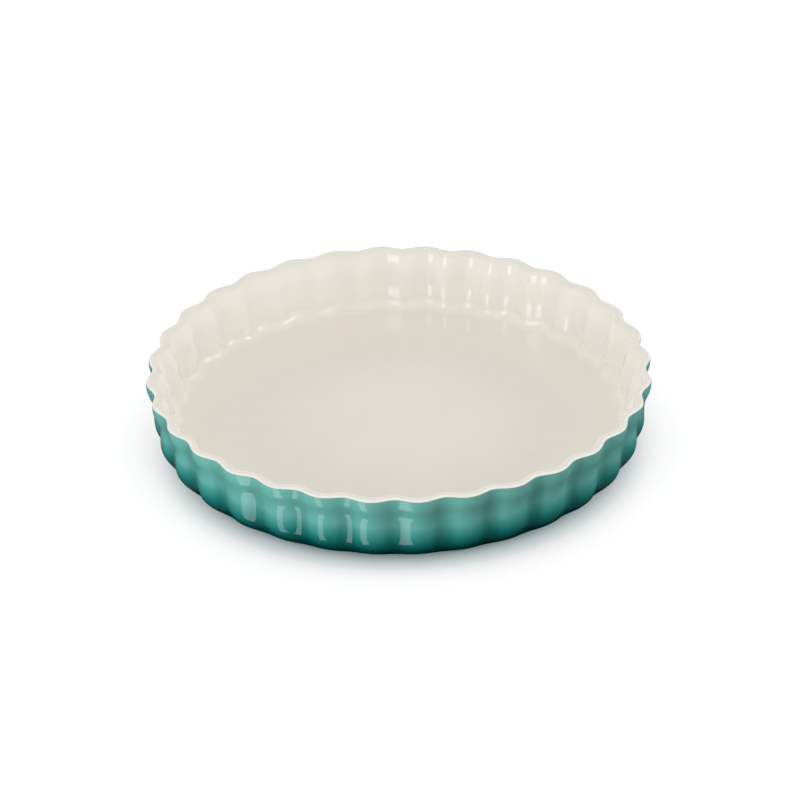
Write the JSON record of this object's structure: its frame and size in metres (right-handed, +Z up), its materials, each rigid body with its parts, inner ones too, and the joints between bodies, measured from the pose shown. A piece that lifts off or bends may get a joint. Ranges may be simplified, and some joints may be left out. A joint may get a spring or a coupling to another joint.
{
  "type": "tart dish",
  "caption": "Round shallow stoneware tart dish with a fluted, softly stepped wall, cream glaze inside, shaded blue-green glaze outside and a bare foot ring.",
  "frame": {"origin": "on the dish's axis, at the level that the foot ring stands on", "axes": "+Z up along the dish's axis, through the open side; +X through the middle of a flute crest"},
  "size_m": [0.28, 0.28, 0.045],
  "materials": {
    "bare_stoneware": "matte",
    "cream_glaze": "gloss",
    "green_glaze": "gloss"
  },
  "bodies": {
    "root": {"stoneware_body": "bare_stoneware", "interior_glaze": "cream_glaze", "exterior_glaze": "green_glaze", "base_glaze": "green_glaze"}
  },
  "joints": []
}
